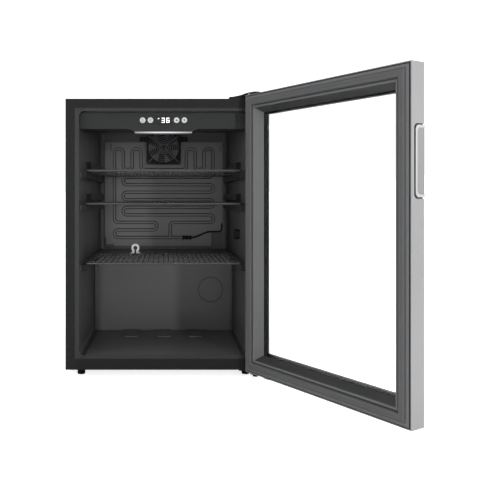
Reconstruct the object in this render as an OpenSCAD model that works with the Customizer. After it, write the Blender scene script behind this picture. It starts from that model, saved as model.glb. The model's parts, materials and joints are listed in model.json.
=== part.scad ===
// Glass-door beverage cooler with its door swung open, standing on its feet.
// Origin: on the floor, centred on the cabinet's width, at the plane of the cabinet's front.
// +X is towards the hinges, +Y into the cabinet and +Z up. All sizes are in millimetres.

/* [Cabinet] */
// Outer width of the cabinet
cabinet_width = 445; // [435:1:455]
// Height of the cabinet's top above the floor
cabinet_top = 632; // [625:1:640]
// Depth of the cabinet without its door and condenser
cabinet_depth = 495; // [490:1:510]
// Gap below the cabinet, which the feet fill
foot_height = 16; // [14:1:18]
// Width of the painted flange around the front
flange = 21; // [20:0.5:22]
// Thickness of the painted steel
skin = 1.2; // [0.8:0.1:1.5]

/* [Cavity] */
// Half the width of the cavity at the front
cavity_half = 191.9; // [190:0.1:193]
// How far each side wall leans in towards the back
side_draft = 2.5; // [1:0.1:4]
// Height of the cavity's floor
cavity_floor = 48.7; // [46:0.1:52]
// Height of the cavity's ceiling at the front
cavity_ceiling = 604; // [600:0.5:606]
// Depth of the upper cavity
cavity_depth = 460; // [458:1:462]
// Depth of the cavity below the step
lower_depth = 285; // [280:1:290]
// Height of the top of the step that clears the compressor
step_top = 255; // [250:1:256]
// Thickness of the moulded liner
liner_wall = 2; // [1.5:0.1:2.5]

/* [Door] */
// Width of the door
door_width = 440; // [436:1:442]
// Height of the door's lower edge
door_bottom = 17.7; // [17.4:0.1:18.5]
// Height of the door itself
door_height = 619; // [610:1:622]
// Thickness of the door without its gasket
door_thickness = 35; // [34:0.5:38]
// Gap between the closed door's inner face and the cabinet
door_gap = 3.5; // [3:0.1:4]
// How far the door stands open at rest
rest_angle = 121.5; // [100:0.5:130]
// Width of the metal frame around the glass
door_frame_width = 46; // [42:1:50]

/* [Shelves] */
// Overall width of each shelf
shelf_width = 366; // [360:1:366]
// Height of the wires of the upper, middle and lower shelves
shelf_levels = [470, 393, 255];
// Back edge of the upper, middle and lower shelves
shelf_backs = [425, 425, 281];
// Number of wires that run from front to back
shelf_wires = 29; // [15:1:35]

/* [Cooling] */
// Distance between neighbouring rows of the evaporator's channel
row_pitch = 22.3; // [20:0.1:23]
// Height of the channel's first long row
first_row = 467.6; // [460:0.1:470]
// Side of the fan's square frame
fan_size = 100; // [96:1:102]
// Number of fan blades
fan_blades = 7; // [5:1:9]
// Number of upright wires on the condenser
condenser_wires = 18; // [10:1:24]

/* [Hidden] */
$fn = 48;
half = cabinet_width / 2;
inner_half = half - skin - 0.1;
lip_half = half - flange - 0.1;
lip_bottom = 41.1;
lip_top = cabinet_top - 21.1;
bay_front = 330;
bay_top = 218;
base_top = 18;
back_corner = 12;
front_corner = 12;

door_inner_y = -door_gap;
door_outer_y = door_inner_y - door_thickness;
door_top = door_bottom + door_height;
door_mid = door_bottom + door_height / 2;
pin_x = 205.9;
pin_y = -22.2;
pin_r = 4;
pin_clearance = 0.05;
bush_r = 7;
glass_edge = 38.5;
pane = 3.2;
spacer = 6.6;
inner_pane_depth = 20.1;
outer_pane_depth = inner_pane_depth + pane + spacer;
handle_low = 408;
handle_high = 530;
handle_near = 11.5;
handle_groove = 2.6;
handle_proud = 1.2;
handle_face = 0.3;
handle_rim = 4.5;
handle_lip = 4;
handle_inner = 23.5;
handle_floor = 16.5;

foot_x = 190;
foot_y = 30;
thread_r = 5;
hinge_sheet = 2.5;
tongue_top = cabinet_top + 8;
hinge_screw_xs = [164, 182];

compressor_x = -95;
compressor_y = 412;
tray_bottom = 166;
drier_x = 60;
drier_y = 440;
coil_low = 240;
coil_high = 600;
coil_rows = 13;
coil_half = 165;
coil_start_x = 150;
coil_end_x = -180;
coil_y = 514;
coil_r = 2.4;
bracket_zs = [300, 570];
stud_x = 164;
gland_x = 185;
gland_z = 55;

screw_x = 177.7;
screw_z = 590;
housing_front = 15;
housing_back = 95;
button_z = 584.8;
button_xs = [-47.5, -29.6, 30.3, 48.2];
button_r = 6.3;

evap_front = 448;
evap_half = 174;
arch_top = 551;
arch_low = 490;
arch_pitch = 26.2;
channel_r = 11;
far_row_x = 147;
near_row_x = 120;
outer_column_x = 67 + 3 * arch_pitch;
connector_x = 55;
tube_z = 307;
fan_z = 555;
fan_front = 430;
fan_back = 445;

runner_half = 178;
runner_height = 16;
guide_start = 117;
guide_gap = 8;
runner_slope = 16;
knockout_x = 127;
knockout_z = 158;
knockout_r = 33;

// ---------- outlines and placing ----------

function arc(centre, r, from, to, steps = 6) =
    [for (i = [0:steps]) let (a = from + (to - from) * i / steps) centre + r * [cos(a), sin(a)]];

function rounded_rect(low, high, r) = concat(
    arc([high.x - r, high.y - r], r, 0, 90), arc([low.x + r, high.y - r], r, 90, 180),
    arc([low.x + r, low.y + r], r, 180, 270), arc([high.x - r, low.y + r], r, 270, 360));

module block(low, high) {
    translate(low) cube(high - low);
}

// Extrudes an outline drawn in X and Z along Y.
module along_y(from, to) {
    translate([0, to, 0]) rotate([90, 0, 0]) linear_extrude(to - from) children();
}

// Extrudes an outline drawn in Y and Z along X.
module along_x(from, to) {
    translate([from, 0, 0]) rotate([90, 0, 90]) linear_extrude(to - from) children();
}

module rod_x(from, to, y, z, r) {
    translate([from, y, z]) rotate([0, 90, 0]) cylinder(h = to - from, r = r);
}

module rod_y(from, to, x, z, r) {
    translate([x, from, z]) rotate([-90, 0, 0]) cylinder(h = to - from, r = r);
}

module rod_z(from, to, x, y, r) {
    translate([x, y, from]) cylinder(h = to - from, r = r);
}

module mirrored_x() {
    children();
    mirror([1, 0, 0]) children();
}

// Sweeps a section along a flat route of straights and equal round bends.
module sweep(route, bend) {
    last = len(route) - 1;
    heading = [for (i = [0:last - 1]) let (d = route[i + 1] - route[i]) atan2(d.y, d.x)];
    turn = [for (i = [1:last - 1]) (heading[i] - heading[i - 1] + 540) % 360 - 180];
    trim = [for (i = [0:last]) i == 0 || i == last ? 0 : bend * tan(abs(turn[i - 1]) / 2)];
    for (i = [0:last - 1]) {
        run = norm(route[i + 1] - route[i]) - trim[i] - trim[i + 1];
        start = route[i] + trim[i] * [cos(heading[i]), sin(heading[i])];
        if (run > 0.01)
            translate(start) rotate([0, 0, heading[i]]) rotate([90, 0, 90]) linear_extrude(run) children();
    }
    for (i = [1:last - 1]) {
        side = sign(turn[i - 1]);
        enter = route[i] - trim[i] * [cos(heading[i - 1]), sin(heading[i - 1])];
        centre = enter + side * bend * [-sin(heading[i - 1]), cos(heading[i - 1])];
        from = heading[i - 1] - side * 90;
        translate(centre) rotate([0, 0, side > 0 ? from : from + turn[i - 1]])
            rotate_extrude(angle = abs(turn[i - 1])) translate([bend, 0]) children();
    }
}

// Stands a flat sweep upright, so that its route is drawn in X and Z.
module upright(y) {
    translate([0, y, 0]) rotate([90, 0, 0]) children();
}

// Swings what is drawn on the closed door out to where the door rests.
module on_door() {
    translate([pin_x, pin_y, 0]) rotate([0, 0, rest_angle]) translate([-pin_x, -pin_y, 0]) children();
}

// ---------- cabinet ----------

module plan(depth, grow) {
    front = cavity_half + grow;
    back = cavity_half - side_draft * depth / cavity_depth + grow;
    r = back_corner + grow;
    polygon(concat(arc([back - r, depth + grow - r], r, 0, 90), arc([r - back, depth + grow - r], r, 90, 180),
        [[-front, -1], [front, -1]]));
}

module cavity_face(grow) {
    polygon(rounded_rect([-cavity_half - grow, cavity_floor - grow],
        [cavity_half + grow, cavity_ceiling + grow], front_corner + grow));
}

// The space inside the liner, or the liner's outside when it is grown by the wall.
module cavity(grow) {
    intersection() {
        along_y(-1, cavity_depth + 10) cavity_face(grow);
        union() {
            intersection() {
                translate([0, 0, step_top - grow]) linear_extrude(400) plan(cavity_depth, grow);
                along_x(-250, 250) polygon([[-1, step_top - grow], [cavity_depth + grow, step_top - grow],
                    [cavity_depth + grow, cavity_ceiling - 5 + grow], [-1, cavity_ceiling + grow]]);
            }
            translate([0, 0, cavity_floor - grow]) linear_extrude(step_top - cavity_floor + 20)
                plan(lower_depth, grow);
        }
    }
}

module outer_cabinet() {
    color("#2b2c2e") difference() {
        block([-half, 0, foot_height], [half, cabinet_depth, cabinet_top]);
        block([skin - half, skin, 0], [half - skin, cabinet_depth + 1, cabinet_top - skin]);
        block([flange - half, -1, 0], [half - flange, skin + 1, cabinet_top - flange]);
    }
}

module rear_panel() {
    color("#3a3b3d") difference() {
        block([-inner_half, cabinet_depth - skin, bay_top], [inner_half, cabinet_depth, cabinet_top - skin - 0.1]);
        for (side = [-1, 1], z = bracket_zs) rod_y(cabinet_depth - 5, cabinet_depth + 5, side * stud_x, z, 2);
    }
}

module base_pan() {
    color("#404244") difference() {
        union() {
            block([-inner_half, skin + 1, foot_height], [inner_half, cabinet_depth, base_top]);
            block([-inner_half, cabinet_depth - 1.5, foot_height], [inner_half, cabinet_depth, foot_height + 14]);
            block([gland_x - 18, cabinet_depth - 1.5, foot_height], [gland_x + 18, cabinet_depth, gland_z + 20]);
        }
        for (side = [-1, 1]) rod_z(0, 40, side * foot_x, foot_y, thread_r + pin_clearance);
        at_grommets() rod_z(0, 40, 0, 0, 4.1);
        rod_y(cabinet_depth - 5, cabinet_depth + 5, gland_x, gland_z, 6.1);
    }
}

module machine_bay_panel() {
    color("#505254") {
        block([-inner_half, bay_front - 0.8, base_top], [inner_half, bay_front, bay_top]);
        block([-inner_half, bay_front - 0.8, bay_top - 0.8], [inner_half, cabinet_depth - skin - 0.1, bay_top]);
    }
}

module insulation_foam() {
    color("#d9c9a0") difference() {
        block([-inner_half, 2.4, base_top + 0.1],
            [inner_half, cabinet_depth - skin - 0.1, cabinet_top - skin - 0.1]);
        cavity(liner_wall + 0.1);
        block([-half, bay_front - 0.9, 0], [half, cabinet_depth, bay_top + 0.1]);
        for (side = [-1, 1]) rod_z(0, 34, side * foot_x, foot_y, thread_r + 1);
    }
}

// A ledge whose front end slopes back underneath.
module ledge(front, back, bottom, wall) {
    along_x(runner_half, wall) polygon([[front, bottom + runner_height], [front + runner_slope, bottom],
        [back, bottom], [back, bottom + runner_height]]);
}

module shelf_runner(level, back, wall) {
    ledge(12, back, level - 2.5 - runner_height, wall);
    if (level > step_top) ledge(guide_start, back, level + guide_gap, wall);
}

module inner_liner() {
    color("#46484a") {
        difference() {
            union() {
                cavity(liner_wall);
                block([-lip_half, 0.2, lip_bottom], [lip_half, 2.2, lip_top]);
            }
            cavity(0);
            block([-half, -2, 0], [half, 0.2, cabinet_top]);
            difference() {
                rod_y(lower_depth - 1, lower_depth + 1.3, knockout_x, knockout_z, knockout_r + 1);
                rod_y(lower_depth - 2, lower_depth + 2, knockout_x, knockout_z, knockout_r - 1);
            }
        }
        intersection() {
            cavity(liner_wall / 2);
            mirrored_x() for (i = [0:2]) shelf_runner(shelf_levels[i], [452, 452, lower_depth][i], half);
        }
        for (x = [-85, 0, 83])
            translate([x, 0, cavity_floor - 1]) linear_extrude(3.8)
                polygon(rounded_rect([-21, 195], [21, lower_depth + 1], 9));
    }
}

module kick_strip() {
    color("#242527") block([0.4 - half + flange, 0, foot_height], [half - flange - 0.4, 1.8, lip_bottom - 0.2]);
}

// ---------- controls ----------

function housing_outline(inset) = let (wide = 190.8 - inset, mid = 67.5 - inset / 2, top = 602.8) concat(
    arc([wide - 10, top - 10], 10, 0, 90), arc([10 - wide, top - 10], 10, 90, 180),
    [[-wide, 565 + inset], [-mid - 12.5, 565 + inset], [-mid, 559.6 + inset], [mid, 559.6 + inset],
    [mid + 12.5, 565 + inset], [wide, 565 + inset]]);

module control_housing() {
    color("#393a3c") difference() {
        along_y(housing_front, housing_back) polygon(housing_outline(0));
        difference() {
            along_y(housing_front + 2.5, housing_back - 2.5) polygon(housing_outline(2.5));
            block([-200, 0, 600.3], [200, 200, 610]);
        }
        for (x = button_xs) rod_y(0, 40, x, button_z, button_r + 0.3);
        block([-20, 0, 574.5], [20, 20, 595.5]);
        block([-60, 24, 555], [60, 36, 563]);
        rod_y(housing_front - 1, housing_front + 1.2, screw_x, screw_z, 11);
        rod_y(housing_front, housing_front + 3, screw_x, screw_z, 2);
    }
}

module control_board() {
    color("#1f5a38") difference() {
        block([-60, 24.5, 572], [60, 26.1, 597]);
        for (x = [-55, 55]) rod_y(20, 30, x, 594, 1.6);
    }
}

module display_window() {
    color("#08090a") block([-19.8, housing_front - 0.3, 574.7], [19.8, housing_front + 2, 595.3]);
}

// One seven-segment figure; lit lists the segments from the top, clockwise, and the middle one last.
module digit(x, lit) {
    h = 4.9;
    w = 5.8;
    stroke = 0.65;
    bars = [[[-w / 2, h], [w / 2, h]], [[w / 2, 0], [w / 2, h]], [[w / 2, -h], [w / 2, 0]],
        [[-w / 2, -h], [w / 2, -h]], [[-w / 2, -h], [-w / 2, 0]], [[-w / 2, 0], [-w / 2, h]],
        [[-w / 2, 0], [w / 2, 0]]];
    for (i = lit) {
        low = [min(bars[i][0].x, bars[i][1].x), min(bars[i][0].y, bars[i][1].y)];
        high = [max(bars[i][0].x, bars[i][1].x), max(bars[i][0].y, bars[i][1].y)];
        block([x + low.x - stroke, housing_front - 0.5, button_z + low.y - stroke],
            [x + high.x + stroke, housing_front - 0.3, button_z + high.y + stroke]);
    }
}

module display_digits() {
    color("white") {
        digit(-0.5, [0, 1, 2, 3, 6]);
        digit(10.5, [0, 2, 3, 4, 5, 6]);
        along_y(housing_front - 0.5, housing_front - 0.3) translate([-11, button_z + 3.8]) difference() {
            circle(r = 1.3);
            circle(r = 0.6);
        }
    }
}

module button(x) {
    color("#e6e6e4") {
        rod_y(13.4, 21.5, x, button_z, button_r);
        rod_y(17.8, 19, x, button_z, button_r + 1.1);
        rod_y(21, 23.2, x, button_z, 2);
    }
}

module light_strip() {
    color("#e9f2fa") difference() {
        along_y(17, 42) polygon([[-66.5, 559.5], [66.5, 559.5], [65.5, 555.3], [-65.5, 555.3]]);
        block([-60, 19, 556], [60, 40, 562]);
    }
}

module light_board() {
    color("#dfe4e6") {
        block([-62, 22, 562.2], [62, 38, 563.8]);
        for (i = [-4:4]) block([i * 13 - 1.7, 28.3, 560.6], [i * 13 + 1.7, 31.7, 562.2]);
    }
}

module housing_screw() {
    color("#77797b") difference() {
        union() {
            rod_y(14.2, housing_front + 1.2, screw_x, screw_z, 3.8);
            rod_y(housing_front + 1.2, housing_front + 6, screw_x, screw_z, 1.9);
        }
        for (turn = [0, 90])
            translate([screw_x, 14, screw_z]) rotate([0, turn, 0]) translate([-2.4, 0, -0.5]) cube([4.8, 1, 1]);
    }
}

module sensor_housing() {
    color("#1c1d1f") difference() {
        along_x(179, 190.8) polygon(rounded_rect([154, 303], [178, 327], 6));
        rod_x(176, 187, 166, 315, 6.5);
        for (z = [307.5, 322.5]) block([176, 160, z - 0.8], [184, 172, z + 0.8]);
    }
}

module probe_clip() {
    color("#f2f2f0") difference() {
        union() {
            rod_y(297, 303, -77, step_top + 15, 11);
            block([-90, 297, step_top + 0.1], [-64, 303, step_top + 3]);
            block([-85, 297, step_top + 0.1], [-69, 303, step_top + 8]);
        }
        rod_y(290, 310, -77, step_top + 15, 5.5);
        block([-79.5, 290, step_top - 1], [-74.5, 310, step_top + 15]);
    }
}

// ---------- cooling ----------

function row_z(k) = first_row - (k - 1) * row_pitch;

// The channel's route: along the foot, up the left side, over six arches and down the long rows.
route_foot = [[connector_x, row_z(9)], [-outer_column_x, row_z(9)], [-outer_column_x, row_z(8)],
    [-20, row_z(8)], [-20, row_z(7)], [-outer_column_x, row_z(7)]];
route_left_arches = [for (i = [0:3]) let (x = i * arch_pitch - outer_column_x)
    each (i % 2 == 0 ? [[x, i == 0 ? arch_top : arch_low], [x, arch_top]] : [[x, arch_top], [x, arch_low]])];
route_arches = concat([for (i = [1:len(route_left_arches) - 1]) route_left_arches[i]],
    [for (i = [len(route_left_arches) - 1:-1:1]) [-route_left_arches[i].x, route_left_arches[i].y]]);
function row_end(k) = k == 0 ? outer_column_x : k == 7 ? 19 : k % 2 == 1 ? -near_row_x : far_row_x;
route_rows = [for (k = [1:7], end = [0, 1]) [row_end(k - 1 + end), row_z(k)]];
evaporator_route = concat(route_foot, route_arches, route_rows, [[19, row_z(9) + 2]]);

module channel_section() {
    polygon([[-5, -0.5], [5, -0.5], [4.2, 1.2], [2.6, 2.5], [-2.6, 2.5], [-4.2, 1.2]]);
}

module evaporator_plate() {
    color("#4d4f51") {
        difference() {
            along_y(evap_front, evap_front + 1.6) polygon([[-evap_half, 264.7], [140.6, 264.7], [140.6, 307],
                [evap_half, 307], [evap_half, 571], [-evap_half, 571]]);
            for (x = [-1, 1], z = [290, 440, 560])
                if (x < 0 || z > 300) rod_y(evap_front - 5, evap_front + 5, x * 166, z, 2.2);
        }
        upright(evap_front) sweep(evaporator_route, channel_r) channel_section();
    }
}

module evaporator_clips() {
    color("#1a1b1c") for (x = [-1, 1], z = [290, 440, 560])
        if (x < 0 || z > 300) {
            rod_y(evap_front - 3, evap_front, x * 166, z, 5);
            rod_y(evap_front, evap_front + 1.6, x * 166, z, 2.1);
            rod_y(evap_front + 1.6, cavity_depth - 0.1, x * 166, z, 5);
        }
}

module evaporator_joint() {
    color("#17181a") {
        block([connector_x, 442, row_z(9) - 6], [82, evap_front, row_z(9) + 6]);
        upright(445) sweep([[81, row_z(9)], [122, row_z(9)], [122, tube_z], [140, tube_z]], 8) circle(r = 2.6);
    }
}

module suction_tube() {
    color("#b06f3c") upright(445) sweep([[140, tube_z], [171, tube_z], [171, tube_z + 24]], 9)
        circle(r = 2);
}

module fan_frame() {
    color("#1d1e20") difference() {
        union() {
            difference() {
                along_y(fan_front, fan_back) polygon(rounded_rect([-fan_size / 2, fan_z - fan_size / 2],
                    [fan_size / 2, fan_z + fan_size / 2 - 10], 6));
                rod_y(fan_front - 1, fan_back + 1, 0, fan_z, 44.8);
            }
            rod_y(fan_back - 3, fan_back, 0, fan_z, 19);
            rod_y(433, fan_back - 2, 0, fan_z, 2);
            for (a = [90, 210, 330]) translate([0, fan_back - 2.8, fan_z]) rotate([0, a, 0])
                translate([16, 0, -2.5]) cube([30.5, 2.6, 5]);
            for (x = [-61, 61]) {
                block([x - 9, 438, 572], [x + 9, 445, 585]);
                rod_y(445, cavity_depth - 0.1, x, 578.5, 5);
            }
            block([-55, 438, 572], [-48, 445, 585]);
            block([48, 438, 572], [55, 445, 585]);
        }
        for (x = [-61, 61]) rod_y(430, cavity_depth, x, 578.5, 2.2);
        for (x = [-43, 43], z = [-43, 33]) rod_y(fan_front - 1, 442, x, fan_z + z, 2.1);
    }
}

module fan_rotor() {
    color("#2a2b2d") difference() {
        union() {
            rod_y(431.5, 441, 0, fan_z, 17.5);
            for (i = [0:fan_blades - 1]) translate([0, 436.3, fan_z]) rotate([0, i * 360 / fan_blades, 0])
                translate([16.5, 0, 0]) rotate([28, 0, 0]) translate([0, -0.8, -9]) cube([26, 1.6, 18]);
        }
        rod_y(432.8, 450, 0, fan_z, 2 + pin_clearance);
    }
}

module fan_guard() {
    color("#5a5c5e") {
        for (r = [8:5.8:43]) translate([0, 428.2, fan_z]) rotate([90, 0, 0])
            rotate_extrude() translate([r, 0]) circle(r = 0.8);
        for (sx = [-1, 1], sz = [-43, 33]) {
            reach = norm([43, sz]);
            translate([0, 428.9, fan_z]) rotate([0, -atan2(sz, sx * 43), 0])
                rotate([0, 90, 0]) translate([0, 0, 7]) cylinder(h = reach - 10.4, r = 1);
            difference() {
                rod_y(428.6, 429.9, sx * 43, fan_z + sz, 3.8);
                rod_y(428, 431, sx * 43, fan_z + sz, 2.2);
            }
        }
    }
}

module fan_screws() {
    color("#8b8d8f") {
        for (x = [-43, 43], z = [-43, 33]) {
            rod_y(426.8, 428.6, x, fan_z + z, 3.3);
            rod_y(428.6, 441.5, x, fan_z + z, 2);
        }
        for (x = [-61, 61]) {
            rod_y(436, 438, x, 578.5, 4.2);
            rod_y(438, cavity_depth - 0.2, x, 578.5, 2.1);
        }
    }
}

// ---------- shelves ----------

module shelf(level, back) {
    rim_r = 2.1;
    wire_r = 1.15;
    x = shelf_width / 2 - rim_r;
    front_y = 24.5;
    back_y = back - rim_r;
    color("#3c3d3f") {
        translate([0, 0, level]) {
            sweep([[0, front_y], [x, front_y], [x, back_y], [-x, back_y], [-x, front_y], [0, front_y]], 6)
                circle(r = rim_r);
            for (y = [78, (78 + back_y) / 2, back_y - 45]) rod_x(-x, x, y, -0.7, 1.5);
        }
        pitch = (2 * x - 20) / (shelf_wires - 1);
        for (i = [0:shelf_wires - 1]) rod_y(front_y, back_y, 10 - x + i * pitch, level + 1, wire_r);
    }
}

// ---------- machine bay ----------

module at_grommets() {
    for (dx = [-50, 50], dy = [-50, 50]) translate([compressor_x + dx, compressor_y + dy, 0]) children();
}

module compressor() {
    color("#161718") translate([compressor_x, compressor_y, 0]) {
        translate([0, 0, 36]) rotate_extrude() polygon(concat([[0, 0], [50, 0]], arc([52, 10], 8, -90, 0),
            [[60, 52], [62, 54], [62, 58], [60, 60]], arc([30, 96], 30, 0, 90), [[0, 130]]));
        mirrored_x() translate([0, 0, 33]) linear_extrude(3.2) difference() {
            polygon(rounded_rect([24, -64], [66, 64], 12));
            for (dy = [-50, 50]) translate([50, dy]) circle(r = 6.1);
        }
    }
}

module compressor_grommets() {
    color("#0f0f10") at_grommets() difference() {
        union() {
            rod_z(base_top, 32.9, 0, 0, 10);
            rod_z(32.9, 36.3, 0, 0, 6);
            rod_z(36.3, 40, 0, 0, 8.5);
        }
        rod_z(0, 50, 0, 0, 4);
    }
}

// Covers the terminals on the compressor's right side and follows its round wall.
module terminal_cover() {
    color("#1e1f21") difference() {
        block([-50, compressor_y - 24, 60], [-8, compressor_y + 24, 112]);
        rod_z(50, 120, compressor_x, compressor_y, 62.1);
    }
}

module drip_tray() {
    color("#303234") difference() {
        block([-165, 352, tray_bottom], [-25, 482, tray_bottom + 24]);
        block([-163, 354, tray_bottom + 2], [-27, 480, tray_bottom + 30]);
    }
}

module filter_drier() {
    color("#b8703a") translate([drier_x, drier_y, 70]) rotate_extrude() polygon([[0, 0], [3, 0], [3, 8],
        [11, 20], [11, 88], [3, 100], [3, 108], [0, 108]]);
}

module refrigerant_tubes() {
    color("#a9683a") {
        translate([0, 0, 130]) sweep([[compressor_x - 60, compressor_y], [coil_end_x, compressor_y],
            [coil_end_x, coil_y + 2]], 12) circle(r = 3);
        rod_z(35, 70, drier_x, drier_y, 2.5);
        translate([0, 0, 35]) sweep([[drier_x, drier_y], [drier_x, 478], [coil_start_x, 478],
            [coil_start_x, coil_y + 2]], 10) circle(r = 2.4);
        rod_z(178, bay_top - 0.8, drier_x, drier_y, 1.8);
        upright(compressor_y) sweep([[compressor_x + 59.8, 140], [-10, 140], [-10, bay_top - 0.8]], 10)
            circle(r = 4);
    }
}

function coil_z(k) = coil_low + (coil_high - coil_low) * k / (coil_rows - 1);
coil_route = concat([[coil_start_x, 37.4]], [for (k = [0:coil_rows - 1], end = [0, 1])
    [k == 0 && end == 0 ? coil_start_x : k == coil_rows - 1 && end == 1 ? coil_end_x
    : ((k + end) % 2 == 0 ? 1 : -1) * coil_half, coil_z(k)]], [[coil_end_x, 133]]);

module condenser_coil() {
    color("#151617") upright(coil_y) sweep(coil_route, 10) circle(r = coil_r);
}

module condenser_wires() {
    color("#151617") for (i = [0:condenser_wires - 1], side = [-1, 1])
        rod_z(coil_low - 12, coil_high + 12, (i / (condenser_wires - 1) - 0.5) * 290, coil_y + side * 3.3, 0.8);
}

module condenser_brackets() {
    color("#232426") for (side = [-1, 1], z = bracket_zs) difference() {
        union() {
            block([side * 160 - 10, cabinet_depth, z - 10], [side * 160 + 10, cabinet_depth + 2, z + 10]);
            block([side * 151.5 - 2.5, cabinet_depth, z - 6], [side * 151.5 + 2.5, coil_y + 5, z + 6]);
            rod_y(cabinet_depth - skin, cabinet_depth, side * stud_x, z, 1.9);
        }
        rod_x(-200, 200, coil_y, z, coil_r + 0.1);
    }
}

module cord_gland() {
    color("#111213") difference() {
        union() {
            rod_y(cabinet_depth - 5, cabinet_depth - 1.6, gland_x, gland_z, 8.5);
            rod_y(cabinet_depth - 2, cabinet_depth + 1, gland_x, gland_z, 6);
            rod_y(cabinet_depth + 0.1, cabinet_depth + 3, gland_x, gland_z, 8.5);
            rod_y(cabinet_depth + 3, cabinet_depth + 14, gland_x, gland_z, 5.8);
        }
        rod_y(cabinet_depth - 6, cabinet_depth + 20, gland_x, gland_z, 3.6);
    }
}

// ---------- hinges and feet ----------

module hinge_tongue(grow) {
    block([190 - grow, pin_y, cabinet_top + 5.4], [213 + grow, 13 + grow, tongue_top + grow]);
    rod_z(cabinet_top + 5.4, tongue_top + grow, pin_x, pin_y, 8 + grow);
    block([190 - grow, 3, cabinet_top - grow], [213 + grow, 13 + grow, tongue_top + grow]);
}

module upper_hinge_plate() {
    color("#8e9092") difference() {
        union() {
            block([156, 12, cabinet_top], [213, 46, cabinet_top + hinge_sheet]);
            hinge_tongue(0);
            rod_z(door_top - 15, tongue_top, pin_x, pin_y, pin_r);
        }
        for (x = hinge_screw_xs) rod_z(cabinet_top - 5, cabinet_top + 5, x, 30, 2.6);
    }
}

// A snap-on cover that is low at its left end and bulges round the pin.
module hinge_cover() {
    top = cabinet_top + 11;
    low = cabinet_top + 5;
    color("#101112") difference() {
        translate([0, 0, cabinet_top]) linear_extrude(11) polygon(concat([[151, 3], [151, 52], [217, 52]],
            arc([pin_x, pin_y], 12, 0, -120, 8), [[176, 3]]));
        along_y(-60, 60) polygon([[140, low], [158, low], [192, top + 1], [140, top + 1]]);
        block([155.8, 11.8, cabinet_top - 1], [213.2, 46.2, cabinet_top + hinge_sheet + 0.1]);
        for (x = hinge_screw_xs) rod_z(cabinet_top - 1, cabinet_top + hinge_sheet + 1.7, x, 30, 5);
        hinge_tongue(0.2);
        block([140, -60, cabinet_top - 1], [230, 2.9, door_top + 0.4]);
        rod_z(cabinet_top, tongue_top + 0.2, pin_x, pin_y, 8.2);
    }
}

module lower_hinge_bracket() {
    bottom = foot_height - 3;
    color("#131415") difference() {
        union() {
            block([172, 3, bottom], [214, 52, foot_height]);
            block([194, pin_y, bottom], [214, 3, foot_height]);
            rod_z(bottom, foot_height, pin_x - 1.9, pin_y, 10);
            rod_z(bottom, door_bottom + 15, pin_x, pin_y, pin_r);
            rod_z(8, bottom, pin_x, pin_y, 6);
        }
        rod_z(0, foot_height + 1, foot_x, foot_y, thread_r + 0.5);
    }
}

module hinge_screws() {
    color("#9b9da0") {
        for (x = hinge_screw_xs) {
            rod_z(cabinet_top + hinge_sheet, cabinet_top + hinge_sheet + 1.5, x, 30, 4.6);
            rod_z(cabinet_top, cabinet_top + hinge_sheet, x, 30, 2.5);
        }
        for (x = [178, 206]) rod_z(10.8, foot_height - 3, x, 45, 4.6);
    }
}

module front_foot(x) {
    color("#121314") {
        translate([x, foot_y, 0]) rotate_extrude() polygon(concat([[0, 0]], arc([7.5, 1.5], 1.5, -90, 0),
            [[9, 9], [6.8, 12.6], [0, 12.6]]));
        rod_z(12, 26, x, foot_y, thread_r);
    }
}

module rear_feet() {
    color("#121314") for (side = [-1, 1]) translate([side * foot_x, 460, 0]) rotate_extrude()
        polygon(concat([[0, 0]], arc([9.5, 1.5], 1.5, -90, 0), [[12, foot_height], [0, foot_height]]));
}

// ---------- door, drawn closed ----------

// Runs a rail's section round the door with mitred corners: x is depth from the inner face, y is inwards.
module mitred(rail) {
    translate([0, 0, door_mid]) for (k = [0:3]) {
        long = (k % 2 == 0 ? door_width : door_height) / 2;
        away = (k % 2 == 0 ? door_height : door_width) / 2;
        rotate([0, 90 * k, 0]) intersection() {
            along_x(-long, long) translate([door_inner_y, -away]) mirror([1, 0]) children();
            along_y(-60, 20) polygon([[-long, -away], [long, -away], [long - rail, rail - away],
                [rail - long, rail - away]]);
        }
    }
}

module ring(inset_out, inset_in, near, far) {
    x0 = door_width / 2 - inset_out;
    z0 = door_height / 2 - inset_out;
    x1 = door_width / 2 - inset_in;
    z1 = door_height / 2 - inset_in;
    translate([0, door_inner_y, door_mid]) difference() {
        block([-x0, -far, -z0], [x0, -near, z0]);
        block([-x1, -far - 1, -z1], [x1, 1 - near, z1]);
    }
}

module sheet(inset, near, far) {
    x = door_width / 2 - inset;
    z = door_height / 2 - inset;
    translate([0, door_inner_y, door_mid]) block([-x, -far, -z], [x, -near, z]);
}

// The handle's side plate, with round corners towards the cabinet and square ones at the outer face.
module handle_plate(grow) {
    near = door_inner_y - handle_near + grow;
    polygon(concat([[door_outer_y - handle_face, handle_low - grow]],
        arc([near - 8, handle_low + 8 - grow], 8, -90, 0), arc([near - 8, handle_high - 8 + grow], 8, 0, 90),
        [[door_outer_y - handle_face, handle_high + grow]]));
}

// The pocket behind the plate, which is open at the door's outer face.
module handle_pocket(grow, mouth = 5) {
    block([handle_lip - door_width / 2 - grow, door_outer_y - mouth, handle_low + 3 - grow],
        [handle_inner - door_width / 2 + grow, door_inner_y - handle_floor + grow, handle_high - 3 + grow]);
}

module door_outer_frame() {
    color("#b9babb") on_door() difference() {
        union() {
            ring(0, 1.5, 2, door_thickness);
            ring(0, door_frame_width, door_thickness - 1.5, door_thickness);
        }
        along_x(-door_width / 2 - 5, 5 - door_width / 2) handle_plate(handle_groove);
        block([-door_width / 2 - 5, door_outer_y - 1, handle_low], [handle_inner + 3.1 - door_width / 2,
            door_outer_y + 2, handle_high]);
        rod_z(0, 700, pin_x, pin_y, bush_r + 0.1);
    }
}

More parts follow.
